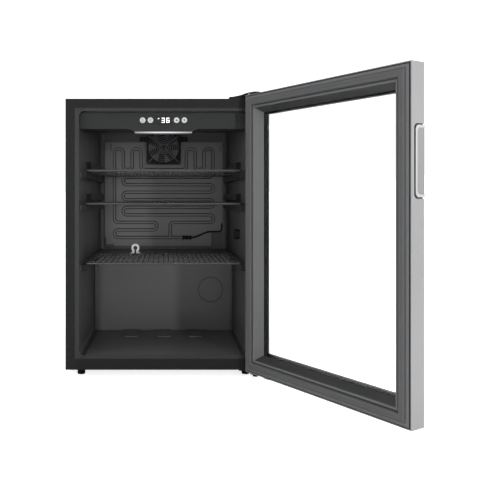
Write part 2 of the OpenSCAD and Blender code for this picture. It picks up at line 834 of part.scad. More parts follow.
module door_inner_frame() {
    rail = 42;
    back = door_thickness - 1.6;
    color("#66686a") on_door() difference() {
        mitred(rail) polygon([[2.5, 1.6], [2.5, 4.5], [1, 4.5], [0, 5.5], [0, 10], [1, 11], [1, 24.5],
            [2.5, 24.5], [2.5, 27], [1, 27], [0, 28], [0, 30], [0.8, 31], [20, rail], [20, glass_edge - 0.1],
            [back, glass_edge - 0.1], [back, 1.6]]);
        along_x(-door_width / 2 - 5, handle_lip + 0.1 - door_width / 2) handle_plate(0.1);
        handle_pocket(1.6);
        rod_z(door_bottom, door_bottom + 17, pin_x, pin_y, bush_r + 0.1);
        rod_z(door_top - 17, door_top, pin_x, pin_y, bush_r + 0.1);
    }
}

module door_gasket() {
    color("#55575a") on_door() mitred(24.4) polygon([[1, 12.4], [1, 23.4], [-0.4, 22.6], [-2, 24.1], [-3.2, 23],
        [-3.2, 13], [-2, 11.9], [-0.4, 13.4]]);
}

module glass_outer() {
    color([0.75, 0.85, 0.85, 0.3]) on_door() sheet(glass_edge, outer_pane_depth, outer_pane_depth + pane);
}

module glass_inner() {
    color([0.75, 0.85, 0.85, 0.3]) on_door() sheet(glass_edge, inner_pane_depth, inner_pane_depth + pane);
}

module glass_spacer() {
    color("#060607") on_door() ring(glass_edge, 45, inner_pane_depth + pane, outer_pane_depth);
}

module door_handle() {
    edge = -door_width / 2;
    color("#c9cacb") on_door() difference() {
        union() {
            along_x(edge - handle_proud, edge + handle_lip) handle_plate(0);
            block([edge - handle_proud, door_outer_y - handle_face, handle_low],
                [edge + handle_inner + 3, door_outer_y + 1.5, handle_high]);
            handle_pocket(1.5, 0);
        }
        handle_pocket(0);
        along_x(edge - 5, edge - handle_proud + 0.9) intersection() {
            handle_plate(-handle_rim);
            translate([door_outer_y - handle_face - 1, handle_low + handle_rim])
                square([40, handle_high - handle_low - 2 * handle_rim]);
        }
    }
}

module door_bushing(mouth, inward) {
    color("#e4e4e0") on_door() translate([pin_x, pin_y, mouth]) difference() {
        union() {
            translate([0, 0, inward > 0 ? 0 : -16.5]) cylinder(h = 16.5, r = bush_r);
            if (inward > 0) translate([0, 0, -1.4]) cylinder(h = 1.4, r = 9);
        }
        translate([0, 0, inward > 0 ? -2 : -20]) cylinder(h = 22, r = pin_r + pin_clearance);
    }
}

module door_stop() {
    color("#0e0f10") on_door() block([144, door_outer_y + 9, door_bottom - 2.8],
        [164, door_inner_y - 6, door_bottom]);
}

outer_cabinet();
rear_panel();
base_pan();
machine_bay_panel();
insulation_foam();
inner_liner();
kick_strip();
control_housing();
control_board();
display_window();
display_digits();
button(button_xs[0]);  // button_power
button(button_xs[1]);  // button_light
button(button_xs[2]);  // button_up
button(button_xs[3]);  // button_down
light_strip();
light_board();
housing_screw();
sensor_housing();
probe_clip();
evaporator_plate();
evaporator_clips();
evaporator_joint();
suction_tube();
fan_frame();
fan_rotor();
fan_guard();
fan_screws();
shelf(shelf_levels[0], shelf_backs[0]);  // shelf_upper
shelf(shelf_levels[1], shelf_backs[1]);  // shelf_middle
shelf(shelf_levels[2], shelf_backs[2]);  // shelf_lower
compressor();
compressor_grommets();
terminal_cover();
drip_tray();
filter_drier();
refrigerant_tubes();
condenser_coil();
condenser_wires();
condenser_brackets();
cord_gland();
upper_hinge_plate();
hinge_cover();
lower_hinge_bracket();
hinge_screws();
front_foot(-foot_x);  // foot_front_left
front_foot(foot_x);  // foot_front_right
rear_feet();
door_outer_frame();
door_inner_frame();
door_gasket();
glass_outer();
glass_inner();
glass_spacer();
door_handle();
door_bushing(door_top, -1);  // upper_door_bushing
door_bushing(door_bottom, 1);  // lower_door_bushing
door_stop();
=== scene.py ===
"""The looks of a glass-door beverage cooler: materials, small fittings, floor, light and camera."""
import json
import math

import bmesh
import bpy
from mathutils import Matrix, Vector


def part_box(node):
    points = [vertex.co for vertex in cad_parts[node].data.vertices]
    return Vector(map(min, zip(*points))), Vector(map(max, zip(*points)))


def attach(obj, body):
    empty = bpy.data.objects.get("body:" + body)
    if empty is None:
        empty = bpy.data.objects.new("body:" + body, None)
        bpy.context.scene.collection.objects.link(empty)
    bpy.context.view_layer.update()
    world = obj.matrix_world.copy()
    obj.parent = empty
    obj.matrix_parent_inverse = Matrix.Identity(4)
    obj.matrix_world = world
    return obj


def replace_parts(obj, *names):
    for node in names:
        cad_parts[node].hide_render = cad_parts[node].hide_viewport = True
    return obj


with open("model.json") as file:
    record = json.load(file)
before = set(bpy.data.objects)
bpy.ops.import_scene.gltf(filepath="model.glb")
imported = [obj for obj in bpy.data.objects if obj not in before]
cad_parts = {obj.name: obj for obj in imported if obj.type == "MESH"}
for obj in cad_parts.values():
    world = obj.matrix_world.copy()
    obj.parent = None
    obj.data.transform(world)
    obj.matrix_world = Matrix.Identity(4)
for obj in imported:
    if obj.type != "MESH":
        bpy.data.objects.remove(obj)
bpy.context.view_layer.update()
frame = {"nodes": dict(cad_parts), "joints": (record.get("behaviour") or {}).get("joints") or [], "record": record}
nodes = frame["nodes"]

MM = 0.001
swing = next(joint for joint in frame["joints"] if joint["name"] == "door_swing")
# At rest the door stands open, and the joint's lower limit closes it.
REST_ANGLE = math.radians(-swing["range_deg"][0])
PIN = Matrix.Translation((swing["pos_m"][0], swing["pos_m"][1], 0))
# Carries a place on the closed door to where it is at rest.
DOOR = PIN @ Matrix.Rotation(REST_ANGLE, 4, "Z") @ PIN.inverted()


def closed_box(node):
    """A door node's lowest and highest corners with the door closed."""
    points = [DOOR.inverted() @ vert.co for vert in nodes[node].data.vertices]
    return (Vector([min(p[k] for p in points) for k in range(3)]),
            Vector([max(p[k] for p in points) for k in range(3)]))


# ---------- node helpers ----------

def fill(tree, socket, value):
    """Links another socket to this one, or sets its plain value."""
    if isinstance(value, bpy.types.NodeSocket):
        tree.links.new(value, socket)
    elif value is not None:
        socket.default_value = value


def add(tree, kind, settings=None, **sockets):
    """Adds a shader node. Settings are attributes, and a socket takes a value or another socket."""
    made = tree.nodes.new("ShaderNode" + kind)
    for key, value in (settings or {}).items():
        setattr(made, key, value)
    for key, value in sockets.items():
        fill(tree, made.inputs[key.replace("_", " ")], value)
    return made


def maths(tree, operation, *values):
    """A Math node's result."""
    made = add(tree, "Math", {"operation": operation})
    for socket, value in zip(made.inputs, values):
        fill(tree, socket, value)
    return made.outputs[0]


def product(tree, value, *others):
    """Two or more factors multiplied."""
    for other in others:
        value = maths(tree, "MULTIPLY", value, other)
    return value


def surface_point(tree, stretch=(1, 1, 1), turn=0.0, centre=(0, 0, 0)):
    """The surface's own coordinates in metres, from a centre, turned about Z and then stretched."""
    own = add(tree, "TexCoord").outputs["Object"]
    turned = add(tree, "VectorRotate", {"rotation_type": "Z_AXIS"}, Vector=own, Center=centre,
                 Angle=turn)
    moved = add(tree, "VectorMath", {"operation": "SUBTRACT"}, Vector=turned.outputs[0])
    moved.inputs[1].default_value = centre
    made = add(tree, "VectorMath", {"operation": "MULTIPLY"}, Vector=moved.outputs[0])
    made.inputs[1].default_value = stretch
    return made.outputs[0]


def noise(tree, scale, detail, stretch=(1, 1, 1), turn=0.0, rough=0.5):
    """Noise at a scale per metre."""
    return add(tree, "TexNoise", Vector=surface_point(tree, stretch, turn), Scale=scale,
               Detail=detail, Roughness=rough).outputs["Fac"]


def between(tree, amount, low, high, start=0.3, end=0.7):
    """Maps a factor's stretch from start to end to the range from low to high."""
    return add(tree, "MapRange", Value=amount, From_Min=start, From_Max=end, To_Min=low,
               To_Max=high).outputs["Result"]


def switch(tree, mask, off, on):
    """One level where a mask is zero and another where it is one."""
    return between(tree, mask, off, on, start=0.0, end=1.0)


def around(tree, patch, middle, below, above):
    """A number that wanders from a little below its middle to a little above."""
    return between(tree, patch, middle - below, middle + above)


def ramp(tree, factor, stops, sharp=False):
    """Grey levels at given positions of a factor, in steps or with straight lines between them."""
    made = add(tree, "ValToRGB", Fac=factor)
    made.color_ramp.interpolation = "CONSTANT" if sharp else "LINEAR"
    elements = made.color_ramp.elements
    for i, (position, level) in enumerate(stops):
        element = elements[i] if i < 2 else elements.new(position)
        element.position = position
        element.color = (level, level, level, 1)
    return made.outputs["Color"]


def blend_colour(tree, amount, first, second, blend_type="MIX"):
    """Mixes two colours, each of them a plain value or a socket."""
    made = add(tree, "Mix", {"data_type": "RGBA", "blend_type": blend_type})
    for socket, value in zip((made.inputs[0], made.inputs[6], made.inputs[7]),
                             (amount, first, second)):
        fill(tree, socket, value)
    return made.outputs[2]


def shade(colour, factor):
    """A colour made darker or lighter, with an alpha of one."""
    return (*(min(1.0, channel * factor) for channel in colour), 1.0)


def mottle(tree, patch, colour, darker, lighter):
    """A colour that wanders between a darker and a lighter shade of itself."""
    return blend_colour(tree, patch, shade(colour, darker), shade(colour, lighter))


def new_material(name, **sockets):
    """A Principled material whose plain values sit on the shader's own sockets."""
    material = bpy.data.materials.new(name)
    material.use_nodes = True
    shader = material.node_tree.nodes["Principled BSDF"]
    for key, value in sockets.items():
        shader.inputs[key.replace("_", " ")].default_value = value
    return material, material.node_tree, shader


def finish_surface(tree, shader, colour, roughness=None, height=None, depth=0.1 * MM,
                   strength=0.5, level=None):
    """Wires up a surface. A level, if there is one, darkens or lightens the colour by place."""
    if level is not None:
        colour = blend_colour(tree, 1.0, colour, level(tree), "MULTIPLY")
    fill(tree, shader.inputs["Base Color"], colour)
    fill(tree, shader.inputs["Roughness"], roughness)
    if height is not None:
        bump = add(tree, "Bump", Height=height, Distance=depth, Strength=strength)
        tree.links.new(bump.outputs[0], shader.inputs["Normal"])


# ---------- places on the object, and the light and shade painted on them ---

door_low, door_high = closed_box("door_outer_frame")
door_centre = DOOR @ ((door_low + door_high) / 2)
half_width, _, half_height = (door_high - door_low) / 2

# Where each band of the door's liner starts, in mm inwards from the door's edge, and its level.
# The bands are looked up in a ramp that reaches this far.
BAND_REACH = 50
# The levels paint shade in the recessed edge and the groove and a highlight on the bead; the other bands differ in
# tone.
DOOR_BAND_LIGHT_AND_SHADE = {
    "recessed edge shade": (0, 0.22),
    "bead highlight": (4.5, 0.72),
    "gasket seat": (11, 0.64),
    "groove shade": (24.5, 0.28),
    "lip": (27, 0.7),
    "reveal": (31, 0.6),
}
# The reveal's top and bottom are painted darker than its sides, as shade, from this many mm inwards.
REVEAL_START = 31.5
REVEAL_RAIL_SHADE = 0.3

# How far out of the door's edge a point of the handle lies, as a part of 2 mm, and its level: painted shade where
# it is flush, and a painted highlight on the rim.
HANDLE_REACH = 2 * MM
HANDLE_LIGHT_AND_SHADE = [(0.0, 0.42), (0.25, 0.56), (0.5, 0.84)]

# The evaporator plate's slopes and flats: how squarely they face forwards, and their levels, which paint shade on
# the slopes and light on the flats.
CHANNEL_LIGHT_AND_SHADE = [(0.8, 0.04), (0.99, 1.25)]

# The liner's face round the cavity lies in front of this Y.
FACE_DEPTH = 2.3 * MM
FACE_LEVEL = 0.13
# The seam of the knockout in the liner's back is a ring round this X and Z, painted with shade.
KNOCKOUT_X = 127 * MM
KNOCKOUT_Z = 158 * MM
KNOCKOUT_RADIUS = 33 * MM
SEAM_HALF_WIDTH = 1.1 * MM
SEAM_SHADE = 0.1
# The shelf ledges, painted with shade: how far from the middle they begin and end, and the Y of their back ends.
LEDGE_INSIDE = 177.8 * MM
LEDGE_OUTSIDE = 188.6 * MM
LEDGE_BACK = 440 * MM
LEDGE_SHADE = 0.3


def door_spans(tree):
    """Distances from the middle of the door, across it and up it."""
    place = surface_point(tree, turn=-REST_ANGLE, centre=door_centre)
    parts = add(tree, "SeparateXYZ", Vector=place)
    return [maths(tree, "ABSOLUTE", parts.outputs[axis]) for axis in "XZ"]


def from_door_edge(tree):
    """How far a point lies inwards from the nearest edge of the door."""
    side, rise = door_spans(tree)
    return maths(tree, "MINIMUM", maths(tree, "SUBTRACT", half_width, side),
                 maths(tree, "SUBTRACT", half_height, rise))


def door_rails(tree):
    """One on the door's top and bottom rails and zero on its uprights, with mitred corners."""
    side, rise = door_spans(tree)
    return maths(tree, "GREATER_THAN", maths(tree, "SUBTRACT", rise, side),
                 half_height - half_width)


def door_light_and_shade_bands(tree):
    """The levels of the door's liner: painted shade in the recessed edge, in the groove and on the reveal's top
    and bottom, and a painted highlight on the bead.
    """
    inwards = product(tree, from_door_edge(tree), 1 / (BAND_REACH * MM))
    stops = [(start / BAND_REACH, level) for start, level in DOOR_BAND_LIGHT_AND_SHADE.values()]
    on_reveal = maths(tree, "GREATER_THAN", inwards, REVEAL_START / BAND_REACH)
    # Painted shade on the reveal's top and bottom.
    rails = switch(tree, product(tree, door_rails(tree), on_reveal), 1.0, REVEAL_RAIL_SHADE)
    return blend_colour(tree, 1.0, ramp(tree, inwards, stops, sharp=True), rails, "MULTIPLY")


def handle_painted_light_and_shade(tree):
    """The handle's rim stands out furthest and gets a painted highlight, the plate inside it is duller, and
    painted shade lies where it is flush with the door.
    """
    outwards = product(tree, from_door_edge(tree), -1 / HANDLE_REACH)
    return ramp(tree, outwards, HANDLE_LIGHT_AND_SHADE)


def facing(tree, axis):
    """How squarely a face looks along an axis, either way."""
    parts = add(tree, "SeparateXYZ", Vector=add(tree, "TexCoord").outputs["Normal"])
    return maths(tree, "ABSOLUTE", parts.outputs[axis])


def channel_painted_light_and_shade(tree):
    """Painted light and shade by facing: the evaporator's raised channel is dark on its slopes, and the plate is
    lighter where it faces forwards.
    """
    return ramp(tree, facing(tree, "Y"), CHANNEL_LIGHT_AND_SHADE)


def liner_tone_and_shade(tree):
    """The liner is darker on its front face, and has painted shade on its ledges and in the seam of the knockout.
    """
    x, y, z = add(tree, "SeparateXYZ", Vector=surface_point(tree)).outputs
    behind_face = maths(tree, "GREATER_THAN", y, FACE_DEPTH)
    across = maths(tree, "SUBTRACT", x, KNOCKOUT_X)
    rise = maths(tree, "SUBTRACT", z, KNOCKOUT_Z)
    squares = maths(tree, "MULTIPLY_ADD", across, across, product(tree, rise, rise))
    from_ring = maths(tree, "SUBTRACT", maths(tree, "SQRT", squares), KNOCKOUT_RADIUS)
    off_seam = maths(tree, "GREATER_THAN", maths(tree, "ABSOLUTE", from_ring), SEAM_HALF_WIDTH)
    reach = maths(tree, "ABSOLUTE", x)
    on_ledge = product(tree, maths(tree, "LESS_THAN", reach, LEDGE_OUTSIDE),
                       maths(tree, "GREATER_THAN", reach, LEDGE_INSIDE),
                       maths(tree, "LESS_THAN", y, LEDGE_BACK))
    return product(tree, switch(tree, behind_face, FACE_LEVEL, 1.0),
                   switch(tree, off_seam, SEAM_SHADE, 1.0),
                   switch(tree, on_ledge, 1.0, LEDGE_SHADE))


# ---------- materials ----------

def powder_coat(name, colour, roughness=0.45, peel=700, gloss=0.3, level=None):
    """Sprayed steel: orange peel at about a millimetre, and slow changes of tone and gloss."""
    material, tree, shader = new_material(name, Specular_IOR_Level=gloss)
    finish_surface(
        tree, shader,
        colour=mottle(tree, noise(tree, scale=5, detail=3), colour, darker=0.95, lighter=1.05),
        roughness=around(tree, noise(tree, scale=40, detail=4), roughness, 0.012, 0.015),
        height=noise(tree, scale=peel, detail=2), depth=0.12 * MM, strength=0.35, level=level)
    return material


def moulded(name, colour, roughness=0.45, grain=2200, depth=0.05 * MM, gloss=0.25, coat=0.0,
            level=None):
    """Moulded plastic: a fine eroded grain with slow changes of tone."""
    material, tree, shader = new_material(name, Specular_IOR_Level=gloss, Coat_Weight=coat,
                                          Coat_Roughness=0.15)
    finish_surface(
        tree, shader,
        colour=mottle(tree, noise(tree, scale=9, detail=3), colour, darker=0.9, lighter=1.1),
        roughness=around(tree, noise(tree, scale=60, detail=3), roughness, 0.04, 0.05),
        height=noise(tree, scale=grain, detail=2), depth=depth, strength=0.4, level=level)
    return material


def formed_sheet(name, colour, level):
    """Vacuum-formed liner: satin, slightly wavy where the sheet was drawn, with a faint grain."""
    material, tree, shader = new_material(name, Specular_IOR_Level=0.45)
    waves = noise(tree, scale=3, detail=0)
    grain = noise(tree, scale=900, detail=0)
    grain_share = 0.0012
    finish_surface(
        tree, shader,
        colour=mottle(tree, noise(tree, scale=4, detail=2), colour, darker=0.92, lighter=1.08),
        roughness=between(tree, noise(tree, scale=12, detail=1), 0.38, 0.42),
        height=maths(tree, "MULTIPLY_ADD", grain, grain_share, waves), depth=2 * MM,
        strength=0.1, level=level)
    return material


def brushed_panel(name, colour, roughness, level=None):
    """Brushed metal on the door: uprights along Z and rails across, with mitred corners."""
    material, tree, shader = new_material(name, Metallic=1.0, Anisotropic=0.3)
    along = noise(tree, scale=60, detail=4, stretch=(45, 45, 1), turn=-REST_ANGLE)
    across = noise(tree, scale=60, detail=4, stretch=(1, 1, 45), turn=-REST_ANGLE)
    pick = add(tree, "Mix", {"data_type": "FLOAT"})
    for socket, value in zip(pick.inputs[0:1] + pick.inputs[2:4],
                             (door_rails(tree), along, across)):
        fill(tree, socket, value)
    lines = pick.outputs[0]
    finish_surface(
        tree, shader,
        colour=mottle(tree, lines, colour, darker=0.93, lighter=1.05),
        roughness=around(tree, noise(tree, scale=7, detail=3), roughness, 0.03, 0.05),
        height=lines, depth=0.04 * MM, strength=0.25, level=level)
    return material


def plated(name, colour, roughness):
    """Plated or drawn metal, a little duller in patches."""
    material, tree, shader = new_material(name, Metallic=1.0)
    tarnish = noise(tree, scale=35, detail=4, rough=0.6)
    finish_surface(
        tree, shader,
        colour=mottle(tree, tarnish, colour, darker=0.75, lighter=1.1),
        roughness=around(tree, noise(tree, scale=90, detail=3), roughness, 0.05, 0.1),
        height=noise(tree, scale=900, detail=2), depth=0.03 * MM, strength=0.3)
    return material


def copper(name, bright, browned):
    """Drawn copper that has browned in patches."""
    material, tree, shader = new_material(name, Metallic=1.0)
    patches = noise(tree, scale=45, detail=5, rough=0.65)
    patch = between(tree, patches, 0.0, 1.0, start=0.4, end=0.65)
    finish_surface(
        tree, shader,
        colour=blend_colour(tree, patch, bright, browned),
        roughness=between(tree, patch, 0.25, 0.5),
        height=noise(tree, scale=500, detail=2), depth=0.04 * MM, strength=0.3)
    return material


def enamel(name, colour):
    """Thick gloss paint that has sagged a little over a drawn steel shell."""
    material, tree, shader = new_material(name, Coat_Weight=0.6, Coat_Roughness=0.08)
    finish_surface(
        tree, shader,
        colour=mottle(tree, noise(tree, scale=12, detail=3), colour, darker=0.85, lighter=1.2),
        roughness=between(tree, noise(tree, scale=50, detail=3), 0.28, 0.4),
        height=noise(tree, scale=130, detail=2), depth=0.3 * MM, strength=0.3)
    return material


def rubber(name, colour, roughness=0.7):
    """Rubber or soft vinyl with a faint bloom."""
    material, tree, shader = new_material(name, Specular_IOR_Level=0.25)
    bloom = noise(tree, scale=25, detail=4, rough=0.6)
    finish_surface(
        tree, shader,
        colour=mottle(tree, bloom, colour, darker=0.9, lighter=1.15),
        roughness=around(tree, bloom, roughness, 0.06, 0.08),
        height=noise(tree, scale=1300, detail=2), depth=0.06 * MM, strength=0.4)
    return material


def figure_light(name, colour, strength):
    """A lit figure, a touch brighter in places as a diffuser is."""
    material, tree, shader = new_material(name, Emission_Strength=strength, Roughness=0.4)
    glow = mottle(tree, noise(tree, scale=120, detail=2), colour, darker=0.85, lighter=1.0)
    fill(tree, shader.inputs["Emission Color"], glow)
    finish_surface(tree, shader, glow, height=noise(tree, scale=900, detail=2), depth=0.03 * MM,
                   strength=0.3)
    return material


def light_lens(name, node, strength):
    """A frosted lens that glows along its front and fades towards its ends and its top."""
    low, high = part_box(node)
    tall = high.z - low.z
    material, tree, shader = new_material(name, Emission_Strength=strength, Roughness=0.5)
    parts = add(tree, "SeparateXYZ", Vector=surface_point(tree))
    reach = product(tree, maths(tree, "ABSOLUTE", parts.outputs["X"]), 1 / high.x)
    rise = maths(tree, "MULTIPLY_ADD", parts.outputs["Z"], 1 / tall, -low.z / tall)
    to_ends = ramp(tree, reach, [(0.3, 1.0), (0.97, 0.35)])
    to_top = ramp(tree, rise, [(0.72, 1.0), (0.86, 0.04)])
    front = ramp(tree, facing(tree, "Y"), [(0.5, 0.1), (0.9, 1.0)])
    lit = product(tree, to_ends, to_top, front)
    glow = blend_colour(tree, lit, (0, 0, 0, 1), (0.96, 0.98, 1.0, 1))
    fill(tree, shader.inputs["Emission Color"], glow)
    frost = blend_colour(tree, lit, (0.05, 0.05, 0.05, 1), (0.16, 0.16, 0.16, 1))
    finish_surface(tree, shader, frost, height=noise(tree, scale=900, detail=2), depth=0.03 * MM,
                   strength=0.3)
    return material


def clear_glass(name):
    """Float glass: clear, faintly green, with the smallest ripple."""
    material, tree, shader = new_material(name, Transmission_Weight=1.0, Roughness=0.0, IOR=1.45)
    tint = blend_colour(tree, noise(tree, scale=3, detail=1), (0.985, 0.995, 0.99, 1),
                        (0.99, 1.0, 0.995, 1))
    finish_surface(tree, shader, tint, height=noise(tree, scale=2.5, detail=1),
                   depth=0.02 * MM, strength=0.1)
    return material


def foam(name, hollow, skin):
    """Sprayed foam with open cells on its skin."""
    material, tree, shader = new_material(name, Roughness=0.9)
    cells = add(tree, "TexVoronoi", Vector=surface_point(tree), Scale=600).outputs["Distance"]
    finish_surface(tree, shader, blend_colour(tree, cells, hollow, skin), height=cells,
                   depth=0.4 * MM)
    return material


def circuit_board(name, base, track):
    """Lacquered board with its tracks showing through."""
    material, tree, shader = new_material(name, Roughness=0.35, Coat_Weight=0.5)
    lines = add(tree, "TexBrick", Vector=surface_point(tree), Scale=160,
                Mortar_Size=0.03).outputs["Fac"]
    finish_surface(tree, shader, blend_colour(tree, lines, base, track), height=lines,
                   depth=0.03 * MM)
    return material


RECIPES = {
    "painted_steel": (powder_coat, dict(colour=(0.008, 0.0082, 0.0086), gloss=0.2)),
    "back_steel": (powder_coat, dict(colour=(0.05, 0.052, 0.055), roughness=0.55)),
    "foam": (foam, dict(hollow=(0.6, 0.5, 0.3, 1), skin=(0.8, 0.7, 0.45, 1))),
    "liner_plastic": (formed_sheet, dict(colour=(0.078, 0.0785, 0.08), level=liner_tone_and_shade)),
    "kick_plastic": (moulded, dict(colour=(0.0095, 0.0097, 0.0102), roughness=0.5, gloss=0.16)),
    "housing_plastic": (moulded, dict(colour=(0.022, 0.0225, 0.0235), roughness=0.5, gloss=0.22)),
    "circuit_board": (circuit_board, dict(base=(0.01, 0.09, 0.03, 1), track=(0.03, 0.2, 0.07, 1))),
    "display_black": (moulded, dict(colour=(0.016, 0.0163, 0.017), roughness=0.4, gloss=0.22)),
    "digit_light": (figure_light, dict(colour=(0.95, 0.97, 1.0), strength=1.6)),
    "button_white": (moulded, dict(colour=(0.6, 0.6, 0.59), roughness=0.35, coat=0.2)),
    "light_lens": (light_lens, dict(node="light_strip", strength=0.62)),
    "led_board": (circuit_board, dict(base=(0.75, 0.77, 0.77, 1), track=(0.6, 0.62, 0.6, 1))),
    "screw_steel": (plated, dict(colour=(0.5, 0.5, 0.5), roughness=0.35)),
    "dark_screw": (powder_coat, dict(colour=(0.012, 0.012, 0.0125), roughness=0.5)),
    "black_plastic": (moulded, dict(colour=(0.006, 0.006, 0.0067), gloss=0.2)),
    "white_plastic": (moulded, dict(colour=(0.9, 0.9, 0.88), roughness=0.4, gloss=0.5, coat=0.2)),
    "evaporator_metal": (powder_coat, dict(colour=(0.158, 0.159, 0.162), roughness=0.42, peel=500,
                                           level=channel_painted_light_and_shade)),
    "black_rubber": (rubber, dict(colour=(0.008, 0.008, 0.009))),
    "copper": (copper, dict(bright=(0.72, 0.33, 0.18, 1), browned=(0.3, 0.13, 0.07, 1))),
    "fan_plastic": (moulded, dict(colour=(0.03, 0.03, 0.032), roughness=0.35, gloss=0.35)),
    "guard_wire": (powder_coat, dict(colour=(0.22, 0.22, 0.23), roughness=0.4)),
    "shelf_wire": (powder_coat, dict(colour=(0.042, 0.042, 0.0435), roughness=0.33, gloss=0.6)),
    "compressor_paint": (enamel, dict(colour=(0.012, 0.012, 0.013))),
    "tray_plastic": (moulded, dict(colour=(0.035, 0.035, 0.037), roughness=0.5)),
    "condenser_paint": (enamel, dict(colour=(0.014, 0.014, 0.015))),
    "hinge_steel": (plated, dict(colour=(0.5, 0.5, 0.51), roughness=0.35)),
    "black_steel": (powder_coat, dict(colour=(0.008, 0.008, 0.009), gloss=0.2)),
    "foot_plastic": (moulded, dict(colour=(0.003, 0.003, 0.0033), roughness=0.5, gloss=0.1)),
    "silver_frame": (brushed_panel, dict(colour=(0.47, 0.47, 0.478), roughness=0.42)),
    "door_plastic": (moulded, dict(colour=(0.2, 0.202, 0.207), roughness=0.42, grain=1200,
                                   level=door_light_and_shade_bands)),
    "gasket_rubber": (rubber, dict(colour=(0.102, 0.103, 0.105), roughness=0.6)),
    "clear_glass": (clear_glass, dict()),
    "spacer_black": (moulded, dict(colour=(0.004, 0.004, 0.004), roughness=0.6, gloss=0.0)),
    "handle_metal": (brushed_panel, dict(colour=(0.8, 0.8, 0.81), roughness=0.4,
                                         level=handle_painted_light_and_shade)),
}
make = {slot: recipe(slot, **settings) for slot, (recipe, settings) in RECIPES.items()}


def dress(node, material):
    """Gives a CAD node one material."""
    obj = nodes[node]
    obj.data.materials.clear()
    obj.data.materials.append(material)


for part in frame["record"]["subparts"]:
    dress(part["node"], make[part["material_slot"]])
# The clips are painted with the plate that they hold.
dress("evaporator_clips", make["evaporator_metal"])


# ---------- pieces in mesh code ----------

def link_new(name, data):
    """A new object in the scene."""
    obj = bpy.data.objects.new(name, data)
    bpy.context.scene.collection.objects.link(obj)
    return obj


def add_piece(name, grid, slot, body):
    """Makes a piece that takes its finish from a material slot and rides on a body."""
    mesh = bpy.data.meshes.new(name)
    bmesh.ops.recalc_face_normals(grid, faces=grid.faces)
    grid.to_mesh(mesh)
    grid.free()
    mesh.materials.append(make[slot])
    obj = link_new(name, mesh)
    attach(obj, body)
    return obj


def join_rings(grid, rings, closed=False):
    """Faces between each ring of corners and the next, and from the last to the first if closed."""
    pairs = zip(rings, rings[1:] + rings[:1]) if closed else zip(rings, rings[1:])
    for first, second in pairs:
        for i in range(len(first)):
            k = (i + 1) % len(first)
            grid.faces.new((first[i], first[k], second[k], second[i]))


def loft(grid, rings):
    """A solid through a row of rings, with both its ends closed."""
    grid.faces.new(rings[0])
    grid.faces.new(reversed(rings[-1]))
    join_rings(grid, rings)


def prism(grid, outline, near, far):
    """A solid with an outline in X and Z between two planes across Y."""
    loft(grid, [[grid.verts.new((x, y, z)) for x, z in outline] for y in (near, far)])


def arc_points(centre, radius, start, end, steps=16):
    """Points along an arc between two angles in degrees."""
    angles = [math.radians(start + (end - start) * i / steps) for i in range(steps + 1)]
    return [(centre[0] + radius * math.cos(a), centre[1] + radius * math.sin(a)) for a in angles]


def band(centre, outer, inner, start, end):
    """The outline of part of a flat ring."""
    return arc_points(centre, outer, start, end) + arc_points(centre, inner, end, start)


def bar(left, low, right, high):
    """The outline of a rectangle."""
    return [(left, low), (right, low), (right, high), (left, high)]


# The outlines of each button's icon, in mm from the middle of the button.
ICONS = {
    "power": [band((0, -0.3), 2.9, 2.2, 130, 410), bar(-0.4, 0.4, 0.4, 3.1)],
    "light": [band((0, 0.7), 2.2, 1.6, -60, 240), bar(-1.0, -1.9, 1.0, -1.4),
              bar(-0.7, -2.8, 0.7, -2.3)],
    "up": [[(-2.5, -1.5), (2.5, -1.5), (0, 2.2)]],
    "down": [[(2.5, 1.5), (-2.5, 1.5), (0, -2.2)]],
}
# How far an icon stands out of its button, and how far it goes in.
ICON_PROUD = 0.15 * MM
ICON_SUNK = 0.1 * MM

# The gasket's profile: mm inwards from the door's edge, and mm into the inner frame's face.
GASKET_PROFILE = [
    (12.4, 1.0), (11.8, 0.2), (12.7, -0.8), (11.9, -1.7), (12.1, -2.5), (13.2, -3.0),
    (15.2, -3.2), (17.2, -3.1), (17.8, -2.7), (18.4, -3.1), (20.6, -3.2), (22.6, -3.0),
    (23.7, -2.5), (24.0, -1.7), (23.1, -0.8), (24.0, 0.2), (23.5, 1.0),
]
DOOR_CORNERS = ((-1, -1), (1, -1), (1, 1), (-1, 1))

# The ribbed sleeve of the tube joint, in mm: half the height of each rib and of the tallest one,
# the width of a rib, and how far back a rib starts for each mm that it is lower.
SLEEVE_RIBS = (6.0, 5.0, 6.0, 5.0, 6.0)
SLEEVE_HALF = 6
RIB_WIDTH = 5.4
RIB_SETBACK = 0.4
# The bent tube that leaves the sleeve: its radius and how far from the sleeve's end it starts.
TUBE_RADIUS = 2.6 * MM
TUBE_START = 26 * MM
TUBE_STEPS = 24

# The evaporator plate's front face is this far in front of its back, and the dark bars of painted
# shadow on it reach this far to either side of that face.
PLATE_THICKNESS = 1.6 * MM
SHADOW_LINE_HALF = 0.2 * MM


def button_icon(kind):
    """The dark icon on the front of a button."""
    low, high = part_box("button_" + kind)
    middle = (low + high) / 2
    grid = bmesh.new()
    for outline in ICONS[kind]:
        placed = [(middle.x + x * MM, middle.z + z * MM) for x, z in outline]
        prism(grid, placed, low.y - ICON_PROUD, low.y + ICON_SUNK)
    add_piece("icon_" + kind, grid, "black_plastic", kind + "_button")


def door_gasket():
    """The magnetic gasket: a crowned face on folded sides, mitred at the door's corners."""
    inner_face = closed_box("door_inner_frame")[1].y
    grid = bmesh.new()
    rings = []
    for sx, sz in DOOR_CORNERS:
        ring = []
        for inwards, depth in GASKET_PROFILE:
            x = (door_high.x if sx > 0 else door_low.x) - sx * inwards * MM
            z = (door_high.z if sz > 0 else door_low.z) - sz * inwards * MM
            ring.append(grid.verts.new(DOOR @ Vector((x, inner_face - depth * MM, z))))
        rings.append(ring)
    join_rings(grid, rings, closed=True)
    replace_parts(add_piece("gasket", grid, "gasket_rubber", "door"), "door_gasket")


